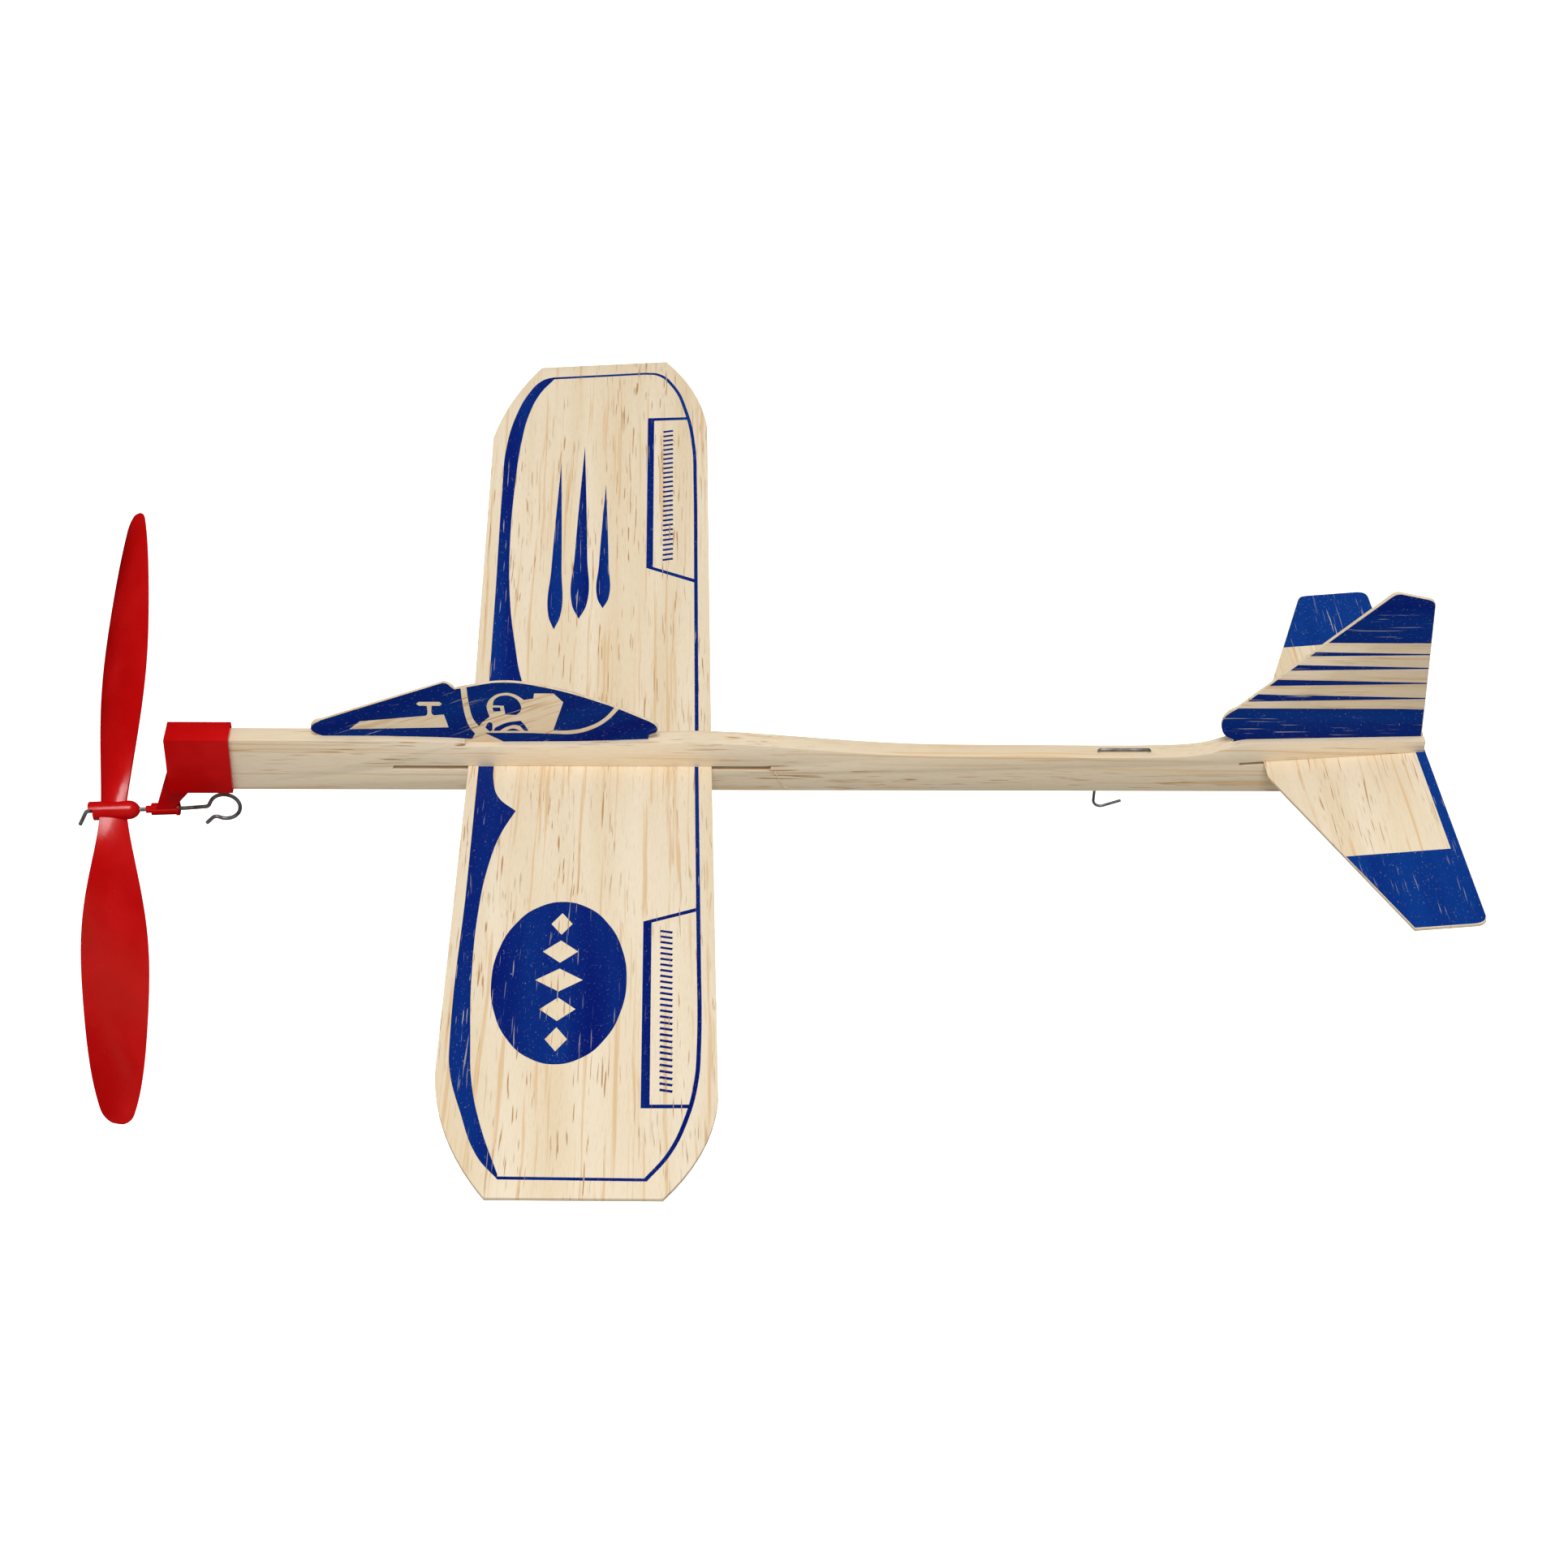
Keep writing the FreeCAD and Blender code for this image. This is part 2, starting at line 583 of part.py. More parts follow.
def make_prop_shaft():
    """Bent leg in front of the hub, straight shaft, and an open looped hook for the rubber motor.

    Drawn in the XZ plane along the shaft line (X aft from mid bearing), then laid on the shaft.
    """
    radius, loop = size("shaft_radius"), size("hook_radius")
    leg_x = size("hub_front") - size("leg_gap") - radius
    centre = V(size("hook_centre"), 0, size("hook_rise"))

    def on_loop(angle):
        turn = math.radians(angle)
        return centre + V(math.cos(turn), 0, math.sin(turn)) * loop

    def loop_heading(angle):
        """The wire's direction as it runs round the loop."""
        turn = math.radians(angle)
        return V(math.sin(turn), 0, -math.cos(turn))

    # the wire leaves the axis only behind the bearing and meets the loop along its tangent
    begin, stop = size("hook_entry"), size("hook_leave")
    entry, leave = on_loop(begin), on_loop(stop)
    corner = entry - loop_heading(begin) * size("hook_lead_in")
    edges = wire_path([(leg_x - size("leg_slant"), -size("leg_drop")), (leg_x, 0),
                       (size("shaft_straight_end"), 0), (corner.x, corner.z), (entry.x, entry.z)],
                      [size("leg_bend"), 2.0, 1.0])
    edges.append(Part.Arc(entry, on_loop((begin + stop) / 2), leave).toShape())
    # the end curls back the other way, so a motor strand can be slipped on
    heading = loop_heading(stop)
    curl, turned = size("curl_radius"), size("curl_turn")
    side = V(-heading.z, 0, heading.x)
    curl_centre = leave + side * curl

    def on_curl(angle):
        turn = math.radians(angle)
        return curl_centre - side * curl * math.cos(turn) + heading * curl * math.sin(turn)

    finish = on_curl(turned)
    edges.append(Part.Arc(leave, on_curl(turned / 2), finish).toShape())
    last = math.radians(turned)
    run = side * math.sin(last) + heading * math.cos(last)
    edges.append(Part.LineSegment(finish, finish + run * size("hook_end")).toShape())
    shape = wire_solid(edges, radius)
    feature = feature_of("prop_shaft", shape)
    tilt = FreeCAD.Rotation(V(0, 1, 0), -size("down_thrust"))
    feature.Placement = FreeCAD.Placement(V(size("bearing_x"), 0, size("bearing_z")), tilt)
    return feature


def make_rear_hook():
    """A long staple pushed through the stick from above; its front leg is bent into the rear hook."""
    front, rear, crown = size("staple_front"), size("staple_rear"), size("staple_crown")
    # the rear leg stops a little above the bottom of its hole
    foot = size("staple_leg_end") + 0.1
    edges = wire_path([(rear, foot), (rear, crown), (front, crown), (front, -size("rear_hook_drop")),
                       (front + size("rear_hook_reach"), -size("rear_hook_tip"))],
                      [size("staple_bend"), size("staple_bend"), size("rear_hook_bend")])
    return feature_of("rear_hook", wire_solid(edges, size("hook_wire_radius")))


# ---------------------------------------------------------------- propeller
# radius, chord, blade angle from the plane of rotation, thickness
blade_stations = [
    (0.5, 6.0, 76.0, 2.2),
    (9.0, 8.6, 63.0, 1.7),
    (20.0, 14.0, 50.0, 1.3),
    (36.0, 17.7, 45.0, 1.1),
    (52.0, 16.6, 40.5, 1.0),
    (63.0, 13.9, 36.5, 0.9),
    (69.0, 10.2, 35.0, 0.8),
]
blade_camber = 0.05


def blade_section(radius, chord, angle, thickness):
    """A thin cambered section: local X up the blade, Y round the disc, Z aft along the shaft."""
    turn = math.radians(angle)
    chordwise = V(0, math.cos(turn), math.sin(turn))
    normal = V(0, -math.sin(turn), math.cos(turn))
    middle = V(radius, 0, size("blade_station") + size("blade_rake") * radius)
    stations = (-0.5, -0.28, 0.0, 0.28, 0.5)

    def point(share, side):
        bulge = 1 - (2 * share) ** 2
        offset = -blade_camber * chord * bulge + side * thickness * (0.14 + 0.36 * bulge)
        return middle + chordwise * (share * chord) + normal * offset

    front = [point(share, -1) for share in stations]
    back = [point(share, 1) for share in reversed(stations)]
    curves = []
    for points in (front, back):
        curve = Part.BSplineCurve()
        curve.interpolate(Points=points)
        curves.append(curve.toShape())
    lead = Part.LineSegment(front[-1], back[0]).toShape()
    trail = Part.LineSegment(back[-1], front[0]).toShape()
    return Part.Wire([curves[0], lead, curves[1], trail])


def make_propeller():
    """Two twisted blades on a round hub with a drive tooth in front and a domed back."""
    hub_r, front, rear = size("hub_radius"), size("hub_front"), size("hub_rear")
    dome = size("hub_dome")
    outline = Part.Wire([
        Part.LineSegment(V(0, 0, front), V(hub_r, 0, front)).toShape(),
        Part.LineSegment(V(hub_r, 0, front), V(hub_r, 0, rear - dome)).toShape(),
        Part.Arc(V(hub_r, 0, rear - dome), V(hub_r * 0.76, 0, rear - dome * 0.35),
                 V(0.62, 0, rear)).toShape(),
        Part.LineSegment(V(0.62, 0, rear), V(0, 0, rear)).toShape(),
        Part.LineSegment(V(0, 0, rear), V(0, 0, front)).toShape(),
    ])
    hub = Part.Face(outline).revolve(V(0, 0, 0), V(0, 0, 1), 360)

    # the front face slopes across the hub, and a sector cut down to its lowest level leaves the tooth
    # that the bent wire pushes on
    tooth, reach = size("hub_tooth"), hub_r + 0.2
    slope = Part.makePolygon([V(-reach, -reach, front - 1), V(reach, -reach, front - 1),
                              V(reach, -reach, front), V(-reach, -reach, front + tooth),
                              V(-reach, -reach, front - 1)])
    ramp = Part.Face(slope).extrude(V(0, 2 * reach, 0))
    ramp.rotate(V(0, 0, 0), V(0, 0, 1), size("prop_turn") + size("tooth_crest"))
    notch = Part.makeCylinder(reach, tooth + 1, V(0, 0, front - 1), V(0, 0, 1), size("notch_span"))
    notch.rotate(V(0, 0, 0), V(0, 0, 1), size("prop_turn") + size("tooth_face"))
    hub = hub.cut(ramp).cut(notch)

    blade = Part.makeLoft([blade_section(*row) for row in blade_stations], True, False)
    tip_radius, tip_chord, tip_angle, tip_thickness = blade_stations[-1]
    cap = Part.makeLoft([
        blade_section(tip_radius, tip_chord, tip_angle, tip_thickness),
        blade_section(size("prop_radius") - 1.1, tip_chord * 0.75, tip_angle, tip_thickness * 0.9),
        blade_section(size("prop_radius"), tip_chord * 0.34, tip_angle, tip_thickness * 0.7)], True, False)
    blade = blade.fuse(cap)
    other = blade.copy()
    other.rotate(V(0, 0, 0), V(0, 0, 1), 180)
    shape = hub.fuse([blade, other])
    bore = Part.makeCylinder(size("shaft_bore"), 30, V(0, 0, front - 5), V(0, 0, 1))
    shape = shape.cut(bore).removeSplitter()
    feature = feature_of("propeller", shape)
    turned = FreeCAD.Placement(V(0, 0, 0), FreeCAD.Rotation(V(0, 0, 1), -size("prop_turn")))
    feature.Placement = shaft_frame().multiply(turned)
    return feature


# ---------------------------------------------------------------- build, check and write
parts = [
    make_motor_stick(),
    make_wing(),
    make_stabilizer(),
    make_fin(),
    make_canopy(),
    make_nose_bearing(),
    make_prop_shaft(),
    make_rear_hook(),
    make_propeller(),
]
doc.recompute()

for item in doc.Objects:
    if "Invalid" in item.State or "Error" in item.State:
        raise RuntimeError(f"{item.Name} did not build: {item.State}")
for part in parts:
    if part.Shape.isNull() or not part.Shape.isValid():
        raise RuntimeError(f"{part.Label} has no valid shape")
    if len(part.Shape.Solids) != 1:
        raise RuntimeError(f"{part.Label} has {len(part.Shape.Solids)} solids")

for part in parts:
    part.Shape.exportStep(f"parts/{part.Label}.step")
    box = part.Shape.BoundBox
    print(f"{part.Label}: {part.Shape.Volume:.1f} mm3, x {box.XMin:.2f}..{box.XMax:.2f},"
          f" y {box.YMin:.2f}..{box.YMax:.2f}, z {box.ZMin:.2f}..{box.ZMax:.2f}")
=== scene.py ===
import math

import bpy
from mathutils import Matrix, Vector


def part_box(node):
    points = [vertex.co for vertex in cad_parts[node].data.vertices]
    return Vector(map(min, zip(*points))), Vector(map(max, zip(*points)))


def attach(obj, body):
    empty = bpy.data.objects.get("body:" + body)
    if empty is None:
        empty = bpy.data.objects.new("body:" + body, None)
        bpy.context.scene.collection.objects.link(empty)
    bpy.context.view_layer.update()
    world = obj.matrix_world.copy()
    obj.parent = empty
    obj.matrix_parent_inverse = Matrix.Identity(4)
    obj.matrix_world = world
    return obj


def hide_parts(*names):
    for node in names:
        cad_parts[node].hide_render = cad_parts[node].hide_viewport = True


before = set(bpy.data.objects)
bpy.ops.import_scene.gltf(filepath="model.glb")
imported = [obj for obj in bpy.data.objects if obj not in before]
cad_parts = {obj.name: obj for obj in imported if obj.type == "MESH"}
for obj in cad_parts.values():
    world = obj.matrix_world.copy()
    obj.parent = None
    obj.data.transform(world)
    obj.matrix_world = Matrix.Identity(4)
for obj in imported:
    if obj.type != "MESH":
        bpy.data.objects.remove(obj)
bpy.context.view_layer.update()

mm = 0.001
sheetThickness = 0.8  # all the balsa sheets
soft = "AUTO"  # marks an outline's point that the curve runs smoothly through
scene = bpy.context.scene
scene.view_settings.view_transform = "Standard"

# camera, at the height and turn of someone looking down on the port side
cameraView = {
    "place": (0.01794, -0.53687, 0.41271),
    "down": 37.52,
    "turn": -2.758,
    "roll": 1.804,
    "lens": 68.57,
    "sensor": 36.0,
}
bpy.ops.object.camera_add(location=cameraView["place"])
camera = bpy.context.object
camera.rotation_euler = (Matrix.Rotation(math.radians(cameraView["turn"]), 3, "Z")
                         @ Matrix.Rotation(math.radians(90 - cameraView["down"]), 3, "X")
                         @ Matrix.Rotation(math.radians(cameraView["roll"]), 3, "Z")).to_euler()
camera.data.lens = cameraView["lens"]
camera.data.sensor_width = cameraView["sensor"]
camera.data.clip_start = 0.01
scene.camera = camera
print("camera placed")


def deselectAll():
    if bpy.context.object and bpy.context.object.mode != "OBJECT":
        bpy.ops.object.mode_set(mode="OBJECT")
    bpy.ops.object.select_all(action="DESELECT")


def addNode(tree, kind, values=None, **settings):
    node = tree.nodes.new(kind)
    for key, value in settings.items():
        setattr(node, key, value)
    for key, value in (values or {}).items():
        if isinstance(value, bpy.types.NodeSocket):
            tree.links.new(value, node.inputs[key])
        else:
            node.inputs[key].default_value = value
    return node


def newGroup(name, inputs, outputs):
    tree = bpy.data.node_groups.new(name, "ShaderNodeTree")
    for label, kind, value in inputs:
        socket = tree.interface.new_socket(label, in_out="INPUT", socket_type=kind)
        if value is not None:
            socket.default_value = value
    for label in outputs:
        tree.interface.new_socket(label, in_out="OUTPUT", socket_type="NodeSocketFloat")
    return tree, tree.nodes.new("NodeGroupInput").outputs, tree.nodes.new("NodeGroupOutput").inputs


def stretched(tree, vector, factors):
    return addNode(tree, "ShaderNodeVectorMath", {0: vector, 1: factors}, operation="MULTIPLY").outputs[0]


def noiseOf(tree, vector, factors, detail=1.0):
    noise = {"Vector": stretched(tree, vector, factors), "Scale": 1.0, "Detail": detail}
    return addNode(tree, "ShaderNodeTexNoise", noise).outputs["Fac"]


def ranged(tree, value, low, high, toLow=0.0, toHigh=1.0):
    return addNode(tree, "ShaderNodeMapRange", {"Value": value, "From Min": low, "From Max": high,
                                                "To Min": toLow, "To Max": toHigh}).outputs[0]


def maths(tree, operation, a, b):
    return addNode(tree, "ShaderNodeMath", {0: a, 1: b}, operation=operation).outputs[0]


def mixed(tree, share, a, b, blend="MIX"):
    node = addNode(tree, "ShaderNodeMix", {0: share, 6: a, 7: b}, data_type="RGBA", blend_type=blend)
    return node.outputs[2]


# balsa grain, running along X of the vector it is given: noise cells per metre, along it and across
grainLook = {
    "wander": (26, 90, 90),
    "wanderDepth": 0.0016,
    "patches": (18, 150, 150),
    "pores": (80, 2500, 2500),
    "streaks": (14, 1100, 1100),
    "fibre": (330, 8200, 8200),
    "tone": (7, 120, 120),
    "fibreHeight": 0.35,
}


def makeBalsaGrain():
    tree, given, out = newGroup("balsaGrain", [("Vector", "NodeSocketVector", None),
                                               ("Pores From", "NodeSocketFloat", 0.66),
                                               ("Pores To", "NodeSocketFloat", 0.72)],
                                ["Pores", "Streaks", "Fibre", "Tone", "Height"])
    vector = given["Vector"]
    wander = maths(tree, "SUBTRACT", noiseOf(tree, vector, grainLook["wander"]), 0.5)
    wander = maths(tree, "MULTIPLY", wander, grainLook["wanderDepth"])
    aside = addNode(tree, "ShaderNodeCombineXYZ", {"Y": wander, "Z": wander}).outputs[0]
    vector = addNode(tree, "ShaderNodeVectorMath", {0: vector, 1: aside}, operation="ADD").outputs[0]
    patches = ranged(tree, noiseOf(tree, vector, grainLook["patches"]), 0.36, 0.58)
    pores = ranged(tree, noiseOf(tree, vector, grainLook["pores"], 1.5), given["Pores From"],
                   given["Pores To"])
    pores = maths(tree, "MULTIPLY", pores, patches)  # pores come in groups
    streaks = ranged(tree, noiseOf(tree, vector, grainLook["streaks"], 2.0), 0.57, 0.68)
    fibre = noiseOf(tree, vector, grainLook["fibre"], 2.0)
    tone = noiseOf(tree, vector, grainLook["tone"], 2.0)
    height = maths(tree, "SUBTRACT", maths(tree, "MULTIPLY", fibre, grainLook["fibreHeight"]), pores)
    tree.links.new(pores, out["Pores"])
    tree.links.new(streaks, out["Streaks"])
    tree.links.new(fibre, out["Fibre"])
    tree.links.new(tone, out["Tone"])
    tree.links.new(height, out["Height"])
    return tree


# 1 on faces that look away from the sheet's flat side
def makeCutEdge():
    tree, given, out = newGroup("cutEdge", [("Normal", "NodeSocketVector", None),
                                            ("Flat Side", "NodeSocketVector", (0, 0, 1))], ["Edge"])
    facing = addNode(tree, "ShaderNodeVectorMath", {0: given["Normal"], 1: given["Flat Side"]},
                     operation="DOT_PRODUCT").outputs["Value"]
    facing = addNode(tree, "ShaderNodeMath", {0: facing}, operation="ABSOLUTE").outputs[0]
    tree.links.new(ranged(tree, facing, 0.55, 0.9, 1.0, 0.0), out["Edge"])
    return tree


# the faint unevenness and hairline scuffs of a moulded surface, in noise cells per metre
skinLook = {
    "swirl": (90, 90, 90),
    "peel": (520, 520, 520),
    "scuffs": (900, 240, 3200),
    "scuffDepth": 0.05,
}


def makeMouldedSkin():
    tree, given, out = newGroup("mouldedSkin", [("Vector", "NodeSocketVector", None)],
                                ["Swirl", "Scuffs", "Height"])
    vector = given["Vector"]
    swirl = noiseOf(tree, vector, skinLook["swirl"], 2.0)
    peel = noiseOf(tree, vector, skinLook["peel"], 2.0)
    scuffs = ranged(tree, noiseOf(tree, vector, skinLook["scuffs"], 3.0), 0.70, 0.80)
    height = maths(tree, "SUBTRACT", peel, maths(tree, "MULTIPLY", scuffs, skinLook["scuffDepth"]))
    tree.links.new(swirl, out["Swirl"])
    tree.links.new(scuffs, out["Scuffs"])
    tree.links.new(height, out["Height"])
    return tree


balsaGrain = makeBalsaGrain()
cutEdge = makeCutEdge()
mouldedSkin = makeMouldedSkin()


def newMaterial(name, turn=(0, 0, 0), scale=(1, 1, 1)):
    material = bpy.data.materials.new(name)
    material.use_nodes = True
    tree = material.node_tree
    where = tree.nodes.new("ShaderNodeTexCoord")
    vector = addNode(tree, "ShaderNodeMapping", {"Vector": where.outputs["Object"], "Scale": scale,
                                                 "Rotation": [math.radians(a) for a in turn]}).outputs[0]
    return material, tree, tree.nodes["Principled BSDF"], vector


def connect(tree, shader, color, roughness, height, distance):
    bump = addNode(tree, "ShaderNodeBump", {"Height": height, "Distance": distance})
    tree.links.new(color, shader.inputs["Base Color"])
    tree.links.new(roughness, shader.inputs["Roughness"])
    tree.links.new(bump.outputs[0], shader.inputs["Normal"])


woodLook = {
    "pale": (0.88, 0.76, 0.58, 1),
    "warm": (0.80, 0.65, 0.44, 1),
    "streak": (0.72, 0.47, 0.23, 1),
    "pore": (0.50, 0.24, 0.07, 1),
    "fibreDark": (0.90, 0.87, 0.82, 1),
    "edge": (0.72, 0.58, 0.40, 1),
    "edgeShare": 0.35,
    "poreShare": 0.9,
    "rough": (0.62, 0.80),
    "specular": 0.15,
    "groove": 0.00006,
}


def balsa(name, turn, scale, flatSide, pores=(0.64, 0.70), streaks=0.7):
    material, tree, shader, vector = newMaterial(name, turn, scale)
    grain = addNode(tree, "ShaderNodeGroup", node_tree=balsaGrain)
    tree.links.new(vector, grain.inputs["Vector"])
    grain.inputs["Pores From"].default_value, grain.inputs["Pores To"].default_value = pores
    edge = addNode(tree, "ShaderNodeGroup", node_tree=cutEdge)
    tree.links.new(tree.nodes["Texture Coordinate"].outputs["Normal"], edge.inputs["Normal"])
    edge.inputs["Flat Side"].default_value = flatSide
    color = mixed(tree, ranged(tree, grain.outputs["Tone"], 0.32, 0.7), woodLook["pale"], woodLook["warm"])
    color = mixed(tree, ranged(tree, grain.outputs["Fibre"], 0.5, 0.75), color,
                  mixed(tree, 1.0, color, woodLook["fibreDark"], "MULTIPLY"))
    for output, group, share, tint in (("Edge", edge, woodLook["edgeShare"], "edge"),
                                       ("Streaks", grain, streaks, "streak"),
                                       ("Pores", grain, woodLook["poreShare"], "pore")):
        color = mixed(tree, maths(tree, "MULTIPLY", group.outputs[output], share), color, woodLook[tint])
    connect(tree, shader, color, ranged(tree, grain.outputs["Fibre"], 0.3, 0.7, *woodLook["rough"]),
            grain.outputs["Height"], woodLook["groove"])
    shader.inputs["Specular IOR Level"].default_value = woodLook["specular"]
    return material


inkLook = {
    "deep": (0.0008, 0.009, 0.155, 1),
    "bright": (0.002, 0.040, 0.25, 1),
    "bare": (0.62, 0.58, 0.52, 1),
    "poreShare": 0.7,
    "speck": (1500, 4200, 4200),
    "speckShare": 0.5,
    "rough": (0.45, 0.65),
    "specular": 0.04,
    "thickness": 0.03,
    "lift": 0.004,
}


def printedInk(name, turn, scale, pores=(0.67, 0.71), fading=(0.35, 0.8)):
    material, tree, shader, vector = newMaterial(name, turn, scale)
    grain = addNode(tree, "ShaderNodeGroup", node_tree=balsaGrain)
    tree.links.new(vector, grain.inputs["Vector"])
    grain.inputs["Pores From"].default_value, grain.inputs["Pores To"].default_value = pores
    specks = ranged(tree, noiseOf(tree, vector, inkLook["speck"], 2.0), 0.66, 0.8)
    color = mixed(tree, ranged(tree, grain.outputs["Tone"], *fading), inkLook["deep"], inkLook["bright"])
    missed = maths(tree, "MAXIMUM", maths(tree, "MULTIPLY", grain.outputs["Pores"], inkLook["poreShare"]),
                   maths(tree, "MULTIPLY", specks, inkLook["speckShare"]))
    color = mixed(tree, missed, color, inkLook["bare"])
    connect(tree, shader, color, ranged(tree, grain.outputs["Fibre"], 0.3, 0.7, *inkLook["rough"]),
            grain.outputs["Height"], woodLook["groove"])
    shader.inputs["Specular IOR Level"].default_value = inkLook["specular"]
    return material


plasticLook = {
    "deep": (0.51, 0.0006, 0.0008, 1),
    "bright": (0.59, 0.0008, 0.001, 1),
    "peel": 0.00002,
    "rough": (0.17, 0.27),
    "scuffed": 0.2,
    "specular": 0.5,
}


def redPlastic():
    material, tree, shader, vector = newMaterial("redPlastic")
    skin = addNode(tree, "ShaderNodeGroup", node_tree=mouldedSkin)
    tree.links.new(vector, skin.inputs["Vector"])
    color = mixed(tree, ranged(tree, skin.outputs["Swirl"], 0.35, 0.65), plasticLook["deep"],
                  plasticLook["bright"])
    rough = maths(tree, "ADD", ranged(tree, skin.outputs["Swirl"], 0.3, 0.7, *plasticLook["rough"]),
                  maths(tree, "MULTIPLY", skin.outputs["Scuffs"], plasticLook["scuffed"]))
    connect(tree, shader, color, rough, skin.outputs["Height"], plasticLook["peel"])
    shader.inputs["Specular IOR Level"].default_value = plasticLook["specular"]
    return material


wireLook = {
    "dark": (0.14, 0.14, 0.135, 1),
    "light": (0.36, 0.355, 0.35, 1),
    "drawn": (260, 6000, 6000),  # drawing lines along the shaft
    "stain": (420, 420, 420),
    "rough": (0.16, 0.34),
    "metallic": 0.5,
    "lines": 0.00001,
}


def springWire():
    material, tree, shader, vector = newMaterial("springWire")
    lines = noiseOf(tree, vector, wireLook["drawn"], 2.0)
    stain = noiseOf(tree, vector, wireLook["stain"], 2.0)
    color = mixed(tree, ranged(tree, stain, 0.35, 0.65), wireLook["dark"], wireLook["light"])
    connect(tree, shader, color, ranged(tree, lines, 0.3, 0.7, *wireLook["rough"]), lines, wireLook["lines"])
    shader.inputs["Metallic"].default_value = wireLook["metallic"]
    return material


alongSpan = {"turn": (0, 0, -90), "scale": (1, 1, 0.08)}
canopySlant = {"turn": (0, 21, 0), "scale": (1, 1, 1)}
alongStick = {"turn": (0, -0.6, 0), "scale": (1, 1, 1)}
materials = {
    "sheet": balsa("sheetBalsa", alongSpan["turn"], alongSpan["scale"], (0, 0, 1)),
    "stick": balsa("stickBalsa", alongStick["turn"], alongStick["scale"], (0, 1, 0), (0.63, 0.70), 0.6),
    "fin": balsa("finBalsa", alongStick["turn"], alongStick["scale"], (0, 1, 0)),
    "canopy": balsa("canopyBalsa", canopySlant["turn"], canopySlant["scale"], (0, 1, 0)),
    "sheetInk": printedInk("sheetInk", alongSpan["turn"], alongSpan["scale"]),
    "tailInk": printedInk("tailInk", alongSpan["turn"], alongSpan["scale"], fading=(0.1, 0.5)),
    "finInk": printedInk("finInk", alongStick["turn"], alongStick["scale"], (0.64, 0.70)),
    "canopyInk": printedInk("canopyInk", canopySlant["turn"], canopySlant["scale"], (0.69, 0.75)),
    "plastic": redPlastic(),
    "wire": springWire(),
}
print("materials made")

# the cad parts, merged and with their sharp edges eased; ease is a bevel's width in millimetres
easedPieces = {
    "stickBlank": {"node": "motor_stick", "body": "airframe", "look": "stick", "slot": "stick_wood",
                   "ease": 0.16, "steps": 2},
    "wingSheet": {"node": "wing", "body": "wing", "look": "sheet", "slot": "sheet_wood",
                  "ease": 0.10, "steps": 2},
    "tailSheet": {"node": "stabilizer", "body": "tailplane", "look": "sheet", "slot": "sheet_wood",
                  "ease": 0.10, "steps": 2},
    "finSheet": {"node": "fin", "body": "airframe", "look": "fin", "slot": "sheet_wood",
                 "ease": 0.12, "steps": 2},
    "canopySheet": {"node": "canopy", "body": "airframe", "look": "canopy", "slot": "sheet_wood",
                    "ease": 0.12, "steps": 2},
    "noseBearing": {"node": "nose_bearing", "body": "airframe", "look": "plastic", "slot": "red_plastic",
                    "ease": 0.16, "steps": 2, "crease": (4.0, 3.45)},
    "redPropeller": {"node": "propeller", "body": "propeller", "look": "plastic", "slot": "red_plastic",
                     "ease": 0.0, "steps": 0},
    "shaftWire": {"node": "prop_shaft", "body": "shaft", "look": "wire", "slot": "steel_wire",
                  "ease": 0.0, "steps": 0},
    "stapleWire": {"node": "rear_hook", "body": "airframe", "look": "wire", "slot": "steel_wire",
                   "ease": 0.0, "steps": 0},
}


def easedCopy(name, made):
    deselectAll()
    piece = bpy.data.objects.new(name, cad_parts[made["node"]].data.copy())
    scene.collection.objects.link(piece)
    piece.select_set(True)
    bpy.context.view_layer.objects.active = piece
    bpy.ops.mesh.customdata_custom_splitnormals_clear()
    bpy.ops.object.mode_set(mode="EDIT")
    bpy.ops.mesh.select_all(action="SELECT")
    bpy.ops.mesh.remove_doubles(threshold=0.002 * mm)
    if made["ease"]:
        bpy.ops.mesh.dissolve_limited(angle_limit=math.radians(0.5))
    bpy.ops.object.mode_set(mode="OBJECT")
    if made["ease"]:
        ease = piece.modifiers.new("ease", "BEVEL")
        ease.width = made["ease"] * mm
        ease.segments = made["steps"]
        ease.limit_method = "ANGLE"
        ease.angle_limit = math.radians(24)
        bpy.ops.object.modifier_apply(modifier=ease.name)
    bpy.ops.object.shade_smooth_by_angle(angle=math.radians(32))
    if "crease" in made:  # long edges beside the middle, where shallow facets meet
        for edge in piece.data.edges:
            ends = [piece.data.vertices[i].co for i in edge.vertices]
            long = abs(ends[0].x - ends[1].x) > made["crease"][0] * mm
            edge.use_edge_sharp |= long and min(abs(end.y) for end in ends) > made["crease"][1] * mm
    piece.data.materials.clear()
    piece.data.materials.append(materials[made["look"]])
    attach(piece, made["body"])
    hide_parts(made["node"])
    return piece


for name, made in easedPieces.items():
    easedCopy(name, made)
print("wood, plastic and wire pieces made")


